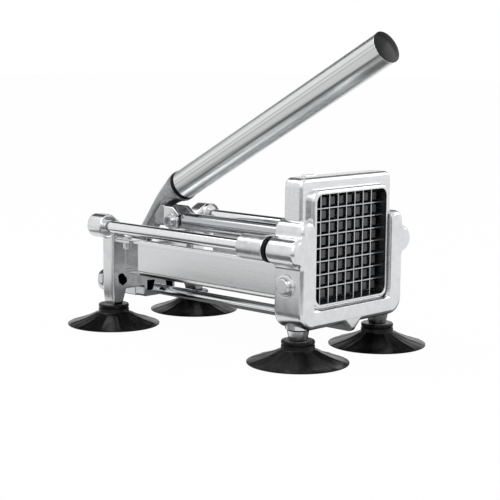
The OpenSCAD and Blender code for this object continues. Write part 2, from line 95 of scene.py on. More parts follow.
def block(low, high, edge=0.0, segments=3):
    # A cube at its place, its twelve edges rounded
    nothingSelected()
    lowest, highest = at(*low), at(*high)
    bpy.ops.mesh.primitive_cube_add(size=1, location=(lowest + highest) / 2)
    piece = bpy.context.object
    piece.scale = highest - lowest
    settled(piece)
    if edge:
        bpy.ops.object.mode_set(mode="EDIT")
        bpy.ops.mesh.select_all(action="SELECT")
        bpy.ops.mesh.bevel(offset=edge * mm, segments=segments, affect="EDGES")
        bpy.ops.object.mode_set(mode="OBJECT")
    return piece


def arc(centre, radius, start, end, steps=8):
    # Points of an arc, as (across, up), from one angle to another in degrees
    turn = [math.radians(start + (end - start) * i / steps) for i in range(steps + 1)]
    return [(centre[0] + radius * math.cos(a), centre[1] + radius * math.sin(a)) for a in turn]


def roundedBox(left, low, right, high, radius, steps=8):
    r = radius
    return (arc((right - r, low + r), r, -90, 0, steps) + arc((right - r, high - r), r, 0, 90, steps)
            + arc((left + r, high - r), r, 90, 180, steps) + arc((left + r, low + r), r, 180, 270, steps))


def extruded(outlines, thickness, edge=0.0, rounding=3, closed=True):
    # A flat curve given thickness both ways along z: filled with round edges, or an open strip
    nothingSelected()
    curve = bpy.data.curves.new("outline", "CURVE")
    curve.dimensions = "2D"
    curve.fill_mode = "BOTH"
    curve.extrude = (thickness / 2 - edge) * mm
    curve.bevel_depth = edge * mm
    curve.bevel_resolution = rounding
    curve.offset = -edge * mm
    for outline in outlines:
        spline = curve.splines.new("POLY")
        spline.points.add(len(outline) - 1)
        for point, (u, v) in zip(spline.points, outline):
            point.co = (u * mm, v * mm, 0, 1)
        spline.use_cyclic_u = closed
    piece = bpy.data.objects.new("outline", curve)
    bpy.context.scene.collection.objects.link(piece)
    chosen(piece)
    bpy.ops.object.convert(target="MESH")
    return bpy.context.object


def plate(outlines, low, high, edge=0.0, across="x", rounding=3):
    # Across x it faces the front and its thickness runs along y; across y it faces the side
    piece = extruded(outlines, high - low, edge, rounding)
    middle = (low + high) / 2
    if across == "x":
        turn, place = Matrix(((1, 0, 0), (0, 0, -1), (0, 1, 0))), at(0, middle, 0)
    else:
        turn, place = Matrix(((0, 0, 1), (1, 0, 0), (0, 1, 0))), at(middle, 0, 0)
    piece.matrix_world = Matrix.Translation(place) @ turn.to_4x4()
    return outward(settled(piece))


def turned(profile, start, direction, sides=64, ring=False):
    # Turned as on a lathe: a circle drawn out through stations of (radius, distance) along a line.
    # A ring ends where it began, as a washer's section does; any other form is closed at its ends
    nothingSelected()
    radius, distance = profile[0]
    bpy.ops.mesh.primitive_circle_add(vertices=sides, radius=radius * mm, location=(0, 0, distance * mm))
    piece = settled(bpy.context.object)
    bpy.ops.object.mode_set(mode="EDIT")
    bpy.ops.mesh.select_mode(type="EDGE")
    bpy.ops.mesh.select_all(action="SELECT")
    for nextRadius, nextDistance in profile[1:] + (profile[:1] if ring else []):
        rise = (nextDistance - distance) * mm
        bpy.ops.mesh.extrude_edges_move(TRANSFORM_OT_translate={"value": (0, 0, rise)})
        size = max(nextRadius, 0.001) / radius
        bpy.ops.transform.resize(value=(size, size, 1), center_override=(0, 0, nextDistance * mm))
        radius, distance = max(nextRadius, 0.001), nextDistance
    if not ring:
        bpy.ops.mesh.select_all(action="SELECT")
        bpy.ops.mesh.fill_holes(sides=0)
    bpy.ops.object.mode_set(mode="OBJECT")
    turn = Vector(direction).to_track_quat("Z", "Y").to_matrix().to_4x4()
    piece.matrix_world = Matrix.Translation(at(*start)) @ turn
    return outward(settled(piece))


def bar(radius, length, chamfer=0.5):
    # Stations of a plain bar with chamfered ends
    return [(radius - chamfer, 0), (radius, chamfer), (radius, length - chamfer), (radius - chamfer, length)]


def collar(outer, inner, low, high, edge):
    # Stations of a ring with round outer edges
    top = arc((outer - edge, high - edge), edge, 0, 90, 4)
    bottom = arc((outer - edge, low + edge), edge, -90, 0, 4)
    return [(inner, low)] + bottom + top + [(inner, high)]


def joined(parts):
    nothingSelected()
    for part in parts:
        part.select_set(True)
    bpy.context.view_layer.objects.active = parts[0]
    bpy.ops.object.join()
    return bpy.context.object


def combined(piece, other, operation):
    # One solid put on another, or taken out of it
    chosen(piece)
    modifier = piece.modifiers.new("shape", "BOOLEAN")
    modifier.operation = operation
    modifier.solver = "EXACT"
    modifier.object = other
    bpy.ops.object.modifier_apply(modifier=modifier.name)
    bpy.data.objects.remove(other)
    return piece


def mirrored(piece):
    # A copy on the other side of the middle plane, with its own mesh
    chosen(piece)
    bpy.ops.object.duplicate()
    copy = bpy.context.object
    copy.scale = (-1, 1, 1)
    return outward(settled(copy))


def pairOf(piece):
    # The piece and its twin on the other side, in one mesh
    return joined([piece, mirrored(piece)])


def handOver(piece, name, material, body, nodes, smooth=35):
    outward(piece)
    piece.name = name
    piece.data.name = name
    bpy.ops.object.shade_smooth_by_angle(angle=math.radians(smooth))
    shading = piece.modifiers.new("shading", "WEIGHTED_NORMAL")
    shading.keep_sharp = True
    bpy.ops.object.modifier_apply(modifier=shading.name)
    piece.data.materials.clear()
    piece.data.materials.append(material)
    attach(piece, body)
    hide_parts(*nodes)
    return piece


def finishAndShadeOnFaces(piece, low, high, material, facing=0.0):
    # The faces whose middles lie between two corners, and that turn this far from the front, get another material:
    # their own finish on the lever's ears, painted shade in the cassette's bore and the rear pockets
    piece.data.materials.append(material)
    lowest, highest = at(*low), at(*high)
    for face in piece.data.polygons:
        turnedAway = 1 - abs(face.normal.y) >= facing
        if turnedAway and all(lowest[i] < face.center[i] < highest[i] for i in range(3)):
            face.material_index = len(piece.data.materials) - 1


def colour(code):
    # An sRGB hex code as linear red, green, blue and alpha
    parts = [int(code[i:i + 2], 16) / 255 for i in (1, 3, 5)]
    return tuple(p / 12.92 if p <= 0.04045 else ((p + 0.055) / 1.055) ** 2.4 for p in parts) + (1,)


def addNode(tree, kind, settings=None, links=None):
    node = tree.nodes.new(kind)
    for name, value in (settings or {}).items():
        if isinstance(name, int) or name in node.inputs:
            node.inputs[name].default_value = value
        else:
            setattr(node, name, value)
    for name, source in (links or {}).items():
        tree.links.new(source, node.inputs[name])
    return node


def newMaterial(name, settings):
    material = bpy.data.materials.new(name)
    material.use_nodes = True
    tree = material.node_tree
    tree.nodes.clear()
    shader = addNode(tree, "ShaderNodeBsdfPrincipled", settings)
    addNode(tree, "ShaderNodeOutputMaterial", links={"Surface": shader.outputs["BSDF"]})
    return material, tree, shader


def grain(tree, size, stretch=(1, 1, 1), detail=1.0, turn=(0, 0, 0)):
    # Noise whose grain is size millimetres across, in the piece's own place turned and then drawn out
    place = addNode(tree, "ShaderNodeTexCoord")
    turned3 = addNode(tree, "ShaderNodeMapping", {"Rotation": turn}, {"Vector": place.outputs["Object"]})
    drawnOut = addNode(tree, "ShaderNodeMapping", {"Scale": stretch}, {"Vector": turned3.outputs["Vector"]})
    return addNode(tree, "ShaderNodeTexNoise", {"Scale": 1 / (size * mm), "Detail": detail, "Roughness": 0.6},
                   {"Vector": drawnOut.outputs["Vector"]})


def tinted(tree, shader, source, light, dark):
    ramp = addNode(tree, "ShaderNodeMapRange", {"From Min": 0.35, "From Max": 0.65}, {"Value": source})
    mix = addNode(tree, "ShaderNodeMix", {"data_type": "RGBA"}, {"Factor": ramp.outputs["Result"]})
    mix.inputs[6].default_value = colour(dark)
    mix.inputs[7].default_value = colour(light)
    tree.links.new(mix.outputs[2], shader.inputs["Base Color"])


def roughened(tree, shader, source, smoothest, roughest):
    ramp = addNode(tree, "ShaderNodeMapRange",
                   {"From Min": 0.3, "From Max": 0.7, "To Min": smoothest, "To Max": roughest},
                   {"Value": source})
    tree.links.new(ramp.outputs["Result"], shader.inputs["Roughness"])


def bumped(tree, shader, source, depth, strength):
    bump = addNode(tree, "ShaderNodeBump", {"Distance": depth * mm, "Strength": strength}, {"Height": source})
    tree.links.new(bump.outputs["Normal"], shader.inputs["Normal"])


def grained(name, settings, light, dark, smoothest, roughest, size, bump=None, **pattern):
    # A material whose colour and roughness follow one fine noise
    material, tree, shader = newMaterial(name, settings)
    noise = grain(tree, size, **pattern).outputs["Fac"]
    tinted(tree, shader, noise, light, dark)
    roughened(tree, shader, noise, smoothest, roughest)
    if bump:
        bumped(tree, shader, noise, *bump)
    return material


def rawCasting(name, light, dark):
    # Aluminium as it leaves the sand, only brushed: darker grey with a faintly grainy skin
    material, tree, shader = newMaterial(name, {"Metallic": 1.0})
    cloud = grain(tree, 3.5, detail=2.0)
    sand = grain(tree, 1.6)    # sand grains, drawn coarser than real
    tinted(tree, shader, cloud.outputs["Fac"], light, dark)
    roughened(tree, shader, cloud.outputs["Fac"], 0.28, 0.36)
    bumped(tree, shader, sand.outputs["Fac"], 0.04, 0.15)
    return material


def paintedGrooveShade(tree, shader, rise, axis, lines):
    # Painted shade: thin darker lines along a tube for the shade of the die's grooves, the same on both sides
    place = addNode(tree, "ShaderNodeTexCoord")
    centre = -(Matrix.Rotation(rise, 3, "X") @ axis)
    level = addNode(tree, "ShaderNodeMapping", {"Rotation": (rise, 0, 0), "Location": centre},
                    {"Vector": place.outputs["Object"]})
    fromBelow = addNode(tree, "ShaderNodeMapping", {"Rotation": (0, 0, math.radians(90))},
                        {"Vector": level.outputs["Vector"]})
    around = addNode(tree, "ShaderNodeTexGradient", {"gradient_type": "RADIAL"},
                     {"Vector": fromBelow.outputs["Vector"]})
    away = addNode(tree, "ShaderNodeMath", {"operation": "SUBTRACT", 1: 0.5}, {0: around.outputs["Fac"]})
    side = addNode(tree, "ShaderNodeMath", {"operation": "ABSOLUTE"}, {0: away.outputs["Value"]})
    ramp = addNode(tree, "ShaderNodeValToRGB", links={"Fac": side.outputs["Value"]})
    stops = ramp.color_ramp.elements
    for stop in stops:
        stop.color = (1, 1, 1, 1)
    for angle, half, shade in lines:
        for offset, value in ((-half, 1), (0, shade), (half, 1)):
            stops.new((angle + offset) / 360).color = (value, value, value, 1)
    mix = addNode(tree, "ShaderNodeMix", {"data_type": "RGBA"})
    mix.blend_type = "MULTIPLY"
    mix.inputs[0].default_value = 1.0
    tree.links.new(shader.inputs["Base Color"].links[0].from_socket, mix.inputs[6])
    tree.links.new(ramp.outputs["Color"], mix.inputs[7])
    tree.links.new(mix.outputs[2], shader.inputs["Base Color"])


def extrudedTube(rise, axis, lines):
    # Extruded and brushed aluminium tube: a soft satin with long streaks, and thin lines of painted shade along the
    # die's grooves
    material, tree, shader = newMaterial("BrushedAluminiumTube", {"Metallic": 1.0})
    streaks = grain(tree, 5.0, stretch=(1, 1, 0.01), detail=0.0, turn=(rise, 0, 0))    # drawn wider than real
    tinted(tree, shader, streaks.outputs["Fac"], "#DDE0DF", "#D1D4D3")
    roughened(tree, shader, streaks.outputs["Fac"], 0.28, 0.3)
    paintedGrooveShade(tree, shader, rise, axis, lines)
    return material


metal = {"Metallic": 1.0}
# Cast aluminium tumbled in stones: a pale, even satin with the faintest cloud
castMetal = grained("TumbledCastAluminium", metal, "#DDDEDF", "#D4D5D7", 0.2, 0.26, 7.0, detail=2.0)
# Cast aluminium rubbed down on a fine belt: satin, with faint streaks across, drawn wider than real
cassetteMetal = grained("SatinCassetteAluminium", metal, "#E0E1E2", "#D8D9DA", 0.2, 0.26, 2.0, stretch=(0.12, 1, 1))
# Rolled stainless strip with ground edges: bright, with fine lines along the strip
bladeMetal = grained("StainlessBladeStrip", metal, "#C6C8CA", "#B6B8BB", 0.18, 0.28, 1.6, stretch=(1, 0.1, 1))
# Moulded grey-black nylon: dull satin with the mould's fine spark-eroded texture
nylon = grained("MouldedBlackNylon", {"IOR": 1.53}, "#464648", "#38383A", 0.4, 0.5, 1.2, bump=(0.03, 0.25))
# Hard-chromed and ground rod: mirror-bright, with very faint rings from the grinding
rodMetal = grained("HardChromedSteelRod", metal, "#E4E5E6", "#E0E1E2", 0.07, 0.1, 1.6, stretch=(0.05, 1, 0.05))
# Moulded rubber ring: black and dull
rubber = grained("MouldedRubber", {"IOR": 1.52, "Specular IOR Level": 0.12}, "#101011", "#09090A", 0.45, 0.6, 0.8)
# Moulded black vinyl suction cup: glossy where it left the mould, a little cloudy
vinyl = grained("MouldedVinylCup", {"IOR": 1.5, "Specular IOR Level": 0.18}, "#0C0C0D", "#070708", 0.2, 0.28, 9.0)
# Stainless sheet with a satin finish drawn along the tray: long lines, wider than the real grit lines
sheetMetal = grained("SatinStainlessSheet", metal, "#E3E4E5", "#DDDEDF", 0.2, 0.28, 3.0, stretch=(1, 0.02, 1))
armMetal = rawCasting("LeverGreyCasting", "#9C9EA0", "#8A8C8E")
carriageMetal = rawCasting("CarriageCasting", "#D4D6D7", "#C2C4C6")
# Raw casting skin on the cassette's bore walls, painted a darker grey for the shade in the opening and the black
# pins it mirrors
boreShadeMetal = rawCasting("CassetteBorePaintedShade", "#7C7D7F", "#6E6F71")
# Painted shade: the cored pockets' inner faces are painted black and dull for the shade deep in the recess
paintedPocketShade = grained("PaintedPocketShade", {"IOR": 1.5, "Specular IOR Level": 0.1}, "#0E0E0F", "#080809", 0.6, 0.8, 1.5)
# Bright drawn steel bar: smooth, with drawing lines along it
linkMetal = grained("BrightDrawnSteelBar", metal, "#B9BBBD", "#AEB0B2", 0.13, 0.2, 1.8, stretch=(1, 0.02, 1))
# Moulded ABS: black, smooth and satin
blackPlastic = grained("MouldedBlackAbs", {"IOR": 1.54, "Specular IOR Level": 0.22}, "#0E0E0F", "#09090A",
                       0.22, 0.3, 2.0)
# Zinc-plated steel fastener: bright grey with slight clouds
screwMetal = grained("ZincPlatedSteel", metal, "#D3D4D6", "#C6C7C9", 0.16, 0.24, 2.5)
print("materials made")

for name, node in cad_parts.items():
    node.data.materials.clear()
    node.data.materials.append(bladeMetal if name.startswith("blade") else screwMetal)

rodX = -(rodLow.x + rodHigh.x) / 2 / mm    # how far a guide rod stands from the middle
backwards = (0, 1, 0)
upwards = (0, 0, 1)
sideways = (1, 0, 0)


def shaft(radius, start, end, x, z, chamfer=0.0, sides=48):
    # A bar along y, or the tool that bores its hole
    return turned(bar(radius, end - start, chamfer), (x, start, z), backwards, sides)


frontCasting = {
    "halfWidth": 57.5, "drop": 56.4, "depth": 27.5, "corner": 13.0, "postTop": 22.0, "edge": 3.3,
    "window": 43.6, "windowCorner": 8.0, "postInner": 41.5, "bossRadius": 9.9, "fillet": 3.5,
    "groove": 51.3, "grooveFront": 7.2, "grooveBack": 24.4, "grooveFloor": -51.0,
    "lugHalf": 1.2, "lugRound": 3.4, "lugBottom": -63.2, "footX": 45.3, "footY": 13.75, "footZ": -64.5,
    "lugCorner": 2.5, "lugFoot": 10.2, "lugSag": 0.02, "padY": 15.4, "padZ": -24.7, "padSunk": 1.5,
    "rodBore": 4.85, "tieBore": 4.3, "boreStart": 5.5, "tieDrop": -57.7,
    "stub": [(6.2, 0), (6.8, 0.6), (8.05, 6.9), (8.5, 7.6), (9.4, 8.2), (9.4, 11)],    # radius, distance
    "pad": [(8.5, 0), (8.5, 1.7), (8.2, 2.5), (7.6, 2.9), (6.9, 3.0)],
    "trayRest": ((20, 26, -45), (32, 35.5, -40.05)),    # low and high corner
}


def frontOutline(c):
    # Half the front face, from the lug up round the boss and the post and down to the sill. The lug's foot
    # sags a hair, since a boolean leaves a slit where three corners stand in one line
    outX = c["halfWidth"] + c["fillet"]
    high = math.sqrt((c["bossRadius"] + c["fillet"]) ** 2 - (outX - rodX) ** 2)
    meet = math.degrees(math.atan2(high, outX - rodX))
    post = (c["halfWidth"] - c["postInner"]) / 2
    inner = c["postInner"]
    half = (arc((c["lugHalf"], c["lugBottom"] + c["lugRound"]), c["lugRound"], -90, -25, 4)
            + arc((c["lugFoot"], -c["drop"] - c["lugCorner"] - c["lugSag"]), c["lugCorner"], 155, 90, 5)
            + arc((c["halfWidth"] - c["corner"], c["corner"] - c["drop"]), c["corner"], -90, 0, 12)
            + arc((outX, -high), c["fillet"], 180, 180 - meet, 6)
            + arc((rodX, 0), c["bossRadius"], -meet, meet, 24)
            + arc((outX, high), c["fillet"], 180 + meet, 180, 6)
            + arc((inner + post, c["postTop"] - post), post, 0, 180, 16)
            + [(inner, -inner)])
    return half + [(-x, z) for x, z in reversed(half)]


def makeFrontCasting():
    c = frontCasting
    piece = plate([frontOutline(c)], 0, c["depth"], c["edge"], rounding=4)
    window = c["window"]
    opening = plate([roundedBox(-window, -window, window, 60, c["windowCorner"])], -5, c["depth"] + 5)
    piece = combined(piece, opening, "DIFFERENCE")
    stub = turned(c["stub"], (c["footX"], c["footY"], c["footZ"]), upwards)
    pad = turned(c["pad"], (c["halfWidth"] - c["padSunk"], c["padY"], c["padZ"]), sideways)
    rest = block(*c["trayRest"], 0.8)
    piece = combined(piece, pairOf(joined([stub, pad, rest])), "UNION")
    groove = block((-c["groove"], c["grooveFront"], c["grooveFloor"]), (c["groove"], c["grooveBack"], 30))
    piece = combined(piece, groove, "DIFFERENCE")
    bore = pairOf(shaft(c["rodBore"], c["boreStart"], c["depth"] + 2, rodX, 0))
    tieBore = shaft(c["tieBore"], c["boreStart"], c["depth"] + 2, 0, c["tieDrop"])
    piece = combined(piece, joined([bore, tieBore]), "DIFFERENCE")
    handOver(piece, "FrontCasting", castMetal, "base", ["front_frame"])


sideScrew = {"tip": -51.1,    # radius and distance: a plain round head with a round edge to its face
             "profile": [(3, 0), (3, 7.9), (6.1, 7.9), (6.1, 9.6), (5.9, 10.3), (5.4, 10.8), (4.7, 11.0)]}


def makeSideScrews():
    place = (sideScrew["tip"], frontCasting["padY"], frontCasting["padZ"])
    screw = turned(sideScrew["profile"], place, (-1, 0, 0))
    handOver(pairOf(screw), "SideScrews", screwMetal, "base", ["side_bolts"])


cassette = {"half": 51.0, "top": 51.3, "corner": 6.5, "front": 7.3, "back": 24.3, "edge": 2.8,
            "rimHalf": 43.0, "rimCorner": 8.0, "rimFront": 2.6, "rimBack": 14.0, "rimEdge": 2.4,
            "openHalf": 39.5, "openCorner": 6.0, "tab": ((-34, 18.8, 49), (-22, 23.0, 52.1)), "tabEdge": 0.5}


def makeCassette():
    c = cassette
    piece = plate([roundedBox(-c["half"], -c["half"], c["half"], c["top"], c["corner"])],
                  c["front"], c["back"], c["edge"])
    rim, opening = c["rimHalf"], c["openHalf"]
    raised = plate([roundedBox(-rim, -rim, rim, rim, c["rimCorner"])],
                   c["rimFront"], c["rimBack"], c["rimEdge"])
    piece = combined(piece, raised, "UNION")
    piece = combined(piece, block(*c["tab"], c["tabEdge"]), "UNION")
    hole = plate([roundedBox(-opening, -opening, opening, opening, c["openCorner"])], 0, 30)
    piece = combined(piece, hole, "DIFFERENCE")
    handOver(piece, "CassetteCasting", cassetteMetal, "base", ["cassette_frame"])
    # The opening's inner walls get the darker grey of painted shade and reflection
    wall = opening + 0.3
    finishAndShadeOnFaces(piece, (-wall, 4, -wall), (wall, c["back"] + 0.1, wall), boreShadeMetal, 0.5)


pusher = {"cells": 8, "pitch": 9.525, "pinHalf": 2.96, "pinFront": 9.9, "pinEdge": 0.5,
          "front": 20.0, "back": 27.0, "half": 38.2, "corner": 5.0, "edge": 0.8}


def makePusher():
    c = pusher
    first = -c["pitch"] * (c["cells"] - 1) / 2
    pin = block((first - c["pinHalf"], c["pinFront"], first - c["pinHalf"]),
                (first + c["pinHalf"], c["front"] + 1, first + c["pinHalf"]), c["pinEdge"], 2)
    for axis in (0, 2):
        row = pin.modifiers.new("row", "ARRAY")
        row.count = c["cells"]
        row.use_relative_offset = False
        row.use_constant_offset = True
        row.constant_offset_displace = [c["pitch"] * mm if axis == i else 0 for i in range(3)]
        chosen(pin)
        bpy.ops.object.modifier_apply(modifier=row.name)
    outline = roundedBox(-c["half"], -c["half"], c["half"], c["half"], c["corner"])
    back = plate([outline], c["front"], c["back"], c["edge"])
    handOver(combined(back, pin, "UNION"), "PusherBlock", nylon, "carriage", ["pusher_block"])


carriage = {"half": 37.0, "corner": 4.0, "front": 27.0, "back": 34.0, "edge": 0.8,
            "rib": ((14, 33, -34), (18, 38, 34)), "pin": (56, 2), "eye": 8.5,
            "cheekStart": 33.5, "cheekIn": 6, "cheekOut": 12, "arm": ((33, 31.7, -7), (52.4, 44, 8)),
            "sleeveStart": 31.4, "sleeve": [(8.4, 0), (9, 0.7), (9, 24.4), (8.6, 24.9), (8.0, 25.1)]}


def makeCarriage():
    c = carriage
    half = c["half"]
    piece = plate([roundedBox(-half, -half, half, half, c["corner"])], c["front"], c["back"], c["edge"])
    rib = block(*c["rib"], 0.7)
    outline = [(c["cheekStart"], -10)] + arc(c["pin"], c["eye"], -96, 82, 20) + [(c["cheekStart"], 13)]
    cheek = plate([outline], c["cheekIn"], c["cheekOut"], c["edge"], across="y")
    arm = block(*c["arm"], 1.4)
    sleeve = turned(c["sleeve"], (rodX, c["sleeveStart"], 0), backwards)
    for feature in (rib, cheek, arm, sleeve):
        piece = combined(piece, pairOf(feature), "UNION")
    piece = combined(piece, pairOf(shaft(frontCasting["rodBore"], 30, 58, rodX, 0)), "DIFFERENCE")
    handOver(piece, "Carriage", carriageMetal, "carriage", ["carriage"])


rods = {"guide": 4.8, "tie": 4.25, "chamfer": 0.6, "sides": 64, "bumperStart": 27.6,
        "bumper": (9.5, 4.9, 0, 3.6, 0.7)}    # outer and inner radius, ends, edge


def makeRods():
    c = rods
    start, end = frontCasting["boreStart"], reach("guide_rod_near")[1].y
    near = shaft(c["guide"], start, end, -rodX, 0, c["chamfer"], c["sides"])
    far = mirrored(near)
    handOver(near, "GuideRodNear", rodMetal, "base", ["guide_rod_near"])
    handOver(far, "GuideRodFar", rodMetal, "base", ["guide_rod_far"])
    tie = shaft(c["tie"], start, reach("tie_rod")[1].y, 0, frontCasting["tieDrop"], c["chamfer"], c["sides"])
    handOver(tie, "TieRod", rodMetal, "base", ["tie_rod"])
    ring = turned(collar(*c["bumper"]), (-rodX, c["bumperStart"], 0), backwards, ring=True)
    other = mirrored(ring)
    handOver(ring, "BumperNear", rubber, "base", ["bumper_near"])
    handOver(other, "BumperFar", rubber, "base", ["bumper_far"])


rear = {
    "front": 207.0, "depth": 12.7, "legIn": 36.6, "legOut": 51.8, "knee": -53.5, "footIn": 40.4, "footZ": -64.5,
    "legTop": [(54, 9.3), (48.3, 6.3), (42.6, 2.1)], "legEdge": 2.0, "legFoot": -10.4,
    "memberTop": -36.5, "memberBottom": -53.0, "sag": 0.02,    # so that no three corners stand in one line
    "webTop": -11.0, "webHalf": 40.0, "notchHalf": 11.0, "notch": -18.0,
    "bossStart": 204.3, "boss": [(7.6, 1.4), (8.0, 0.2), (8.7, 0), (9.3, 0.5), (9.5, 1.3), (9.5, 14), (9.2, 15.38),
                                 (8.3, 16.4), (7.0, 17)],    # no ring of it lies in the leg's back face
    "ear": ((41.05, 190, -13.4), (49.55, 209, -11)), "rootBack": 230.0, "tieEnd": 222.5, "pivotBore": 4.05,
    "forkOut": 17.5, "forkIn": 9.0, "forkBottom": -62.3, "forkTop": -44.0,
    "pocket": 8.0, "pockets": (    # outlines seen from the front, and how far each one reaches across
        ([(44.3, -39.9), (41, -39.9), (36.4, -44.3), (36.2, -47.6), (41.2, -50.1), (45.0, -47.4), (46.2, -42)],
         (36, 46.5)),
        ([(14.3, -48.6), (5.6, -49), (7.8, -56.6), (10, -57.4), (14.5, -57)], (5.4, 14.6))),
}


def makeRearCasting():
    c = rear
    front, back = c["front"], c["front"] + c["depth"]
    pivotY, pivotZ = lever["pivot"]
    stem, under = c["forkOut"] - 0.3, c["forkBottom"] + 0.1    # a little inside the fork, so that no faces coincide
    end, bottom = c["legIn"] + 2, c["memberBottom"]
    half = [(end, c["memberTop"]), (end, bottom), (stem + 1.5, bottom - c["sag"]), (stem, bottom - 1.5),
            (stem, under + 2), (stem - 2, under)]
    piece = plate([half + [(-x, z) for x, z in reversed(half)]], front + 0.3, back, 1.0)
    foot = [(c["legIn"], c["legFoot"]), (c["legIn"], c["knee"]), (c["footIn"], c["footZ"]),
            (c["legOut"] - 1.5, c["footZ"]), (c["legOut"], c["knee"]), (c["legOut"], 0)]
    leg = plate([foot + c["legTop"]], front, back, c["legEdge"], rounding=4)
    piece = combined(piece, pairOf(leg), "UNION")
    wide, low, high, notch = c["webHalf"], c["memberTop"] - 1, c["webTop"], c["notchHalf"]
    web = plate([[(-wide, low), (wide, low), (wide, high), (notch, high), (notch, c["notch"]), (-notch, c["notch"]),
                  (-notch, high), (-wide, high)]], front + 4, front + 8, 0.6)
    piece = combined(piece, web, "UNION")
    boss = turned(c["boss"], (rodX, c["bossStart"], 0), backwards)
    piece = combined(piece, pairOf(boss), "UNION")
    ear = block(*c["ear"], 0.6)
    forkHalf = (c["forkTop"] - c["forkBottom"]) / 2
    side = [(back - 2, c["forkBottom"])] + arc((pivotY, c["forkBottom"] + forkHalf), forkHalf, -90, 90, 16)
    fork = plate([side + [(back - 2, c["forkTop"])]], c["forkIn"], c["forkOut"], 1.0, across="y")
    piece = combined(piece, pairOf(joined([ear, fork])), "UNION")
    root = block((-stem + 0.4, back - 3, under + 0.05), (stem - 0.4, c["rootBack"], c["forkTop"] - 0.6), 1.0)
    piece = combined(piece, root, "UNION")
    pockets = [plate([outline], front - 2, front + c["pocket"]) for outline, reachAcross in c["pockets"]]
    piece = combined(piece, pairOf(joined(pockets)), "DIFFERENCE")
    rodBores = pairOf(shaft(frontCasting["rodBore"], 200, back - 2.5, rodX, 0))
    tieBore = shaft(frontCasting["tieBore"], 200, c["tieEnd"], 0, frontCasting["tieDrop"])
    pivotBore = turned(bar(c["pivotBore"], 60, 0), (-30, pivotY, pivotZ), sideways, 48)
    piece = combined(piece, joined([rodBores, tieBore, pivotBore]), "DIFFERENCE")
    handOver(piece, "RearCasting", castMetal, "base", ["rear_frame"])
    # The pockets' inner faces get the painted black shade
    for side in (-1, 1):
        for outline, reachAcross in c["pockets"]:
            left, right = sorted(side * x for x in reachAcross)
            finishAndShadeOnFaces(piece, (left, front + 0.4, -57.6), (right, front + c["pocket"] + 0.1, -39.7), paintedPocketShade)


tray = {"half": 42.5, "floor": -40.0, "corner": 5.0, "flange": 47.0, "flangeTop": -10.0, "hem": 3.0, "sheet": 1.0,
        "front": 27.6, "flangeBack": 187.0, "bendIn": 1.0, "bendOut": 0.6, "lipHalf": 36.5, "lipBack": 205.5,
        "tabStart": 185.0, "tabOut": 49.0, "tabBack": 206.0}


def makeTray():
    # The section is drawn once along its outer face and the sheet's thickness grows inwards
    c = tray
    under = c["flangeTop"] - c["sheet"]
    half = (arc((c["half"] - c["corner"], c["floor"] + c["corner"]), c["corner"], -90, 0, 8)
            + arc((c["half"] + c["bendIn"], under - c["bendIn"]), c["bendIn"], 180, 90, 4)
            + arc((c["flange"] - c["sheet"] - c["bendOut"], under - c["bendOut"]), c["bendOut"], 90, 0, 3)
            + [(c["flange"] - c["sheet"], c["flangeTop"] - c["hem"])])
    section = [(-x, z) for x, z in reversed(half)] + half
    piece = extruded([section], c["flangeBack"] - c["front"], closed=False)
    turn = Matrix(((1, 0, 0), (0, 0, -1), (0, 1, 0))).to_4x4()
    piece.matrix_world = Matrix.Translation(at(0, (c["flangeBack"] + c["front"]) / 2, 0)) @ turn
    settled(piece)
    wall = piece.modifiers.new("wall", "SOLIDIFY")
    wall.thickness = c["sheet"] * mm
    wall.offset = 1
    bpy.ops.object.modifier_apply(modifier=wall.name)
    outward(piece)
    lip = block((-c["lipHalf"], c["flangeBack"] - 1, c["floor"]),
                (c["lipHalf"], c["lipBack"], c["floor"] + c["sheet"]), 0.3, 2)
    tab = block((c["half"] - 1.5, c["tabStart"], under), (c["tabOut"], c["tabBack"], c["flangeTop"]), 0.3, 2)
    piece = combined(piece, joined([lip, pairOf(tab)]), "UNION")
    handOver(piece, "Tray", sheetMetal, "base", ["tray"])


handle = {"gripY": 178.9, "gripZ": 31.1, "rise": 28.7, "length": 232.0, "radius": 12.0, "bore": 10.4,
          "collar": 3.0, "collarRadius": 12.5, "collarEdge": 0.6, "capRadius": 12.2, "capRim": 0.8, "capDome": 1.9,
          "plug": 10.35, "plugDepth": 14.0,
          # The painted groove shade: degrees round from the tube's underside, half width in degrees, and shade
          "paintedGrooveShade": ((101.7, 2.4, 0.5), (89.4, 2.4, 0.5), (61.0, 6.0, 0.35))}
steep = math.radians(90 - handle["rise"])
handleAxis = (0, -math.sin(steep), math.cos(steep))
grip = (0, handle["gripY"], handle["gripZ"])
tubeMetal = extrudedTube(-steep, at(*grip), handle["paintedGrooveShade"])


def makeHandle():
    c = handle
    tube = extruded([arc((0, 0), c["radius"], 0, 357, 119), arc((0, 0), c["bore"], 0, 356, 89)],
                    c["length"] - c["collar"] / 2, 0.3, 2)
    middle = Matrix.Translation((0, 0, (c["length"] + c["collar"] / 2) / 2 * mm))
    tube.matrix_world = Matrix.Translation(at(*grip)) @ Matrix.Rotation(steep, 4, "X") @ middle
    handOver(outward(settled(tube)), "HandleTube", tubeMetal, "lever", ["handle_tube"], 50)
    halfCollar = c["collar"] / 2
    ring = turned(collar(c["collarRadius"], c["bore"], -halfCollar, halfCollar, c["collarEdge"]),
                  grip, handleAxis, 96, ring=True)
    handOver(ring, "HandleCollar", rubber, "lever", ["handle_collar"])
    end, wide = c["length"], c["capRadius"]
    dome = [(wide * r, end + c["capRim"] + c["capDome"] * (1 - r * r))
            for r in (1, 0.985, 0.95, 0.85, 0.7, 0.55, 0.4, 0.25, 0.1)]
    deepest = end - c["plugDepth"]
    plug = [(c["plug"] - 0.55, deepest), (c["plug"], deepest + 1), (c["plug"], end)]
    cap = turned(plug + [(wide - 0.3, end), (wide, end + 0.3)] + dome, grip, handleAxis, 96)
    handOver(cap, "HandleCap", blackPlastic, "lever", ["handle_cap"], 60)


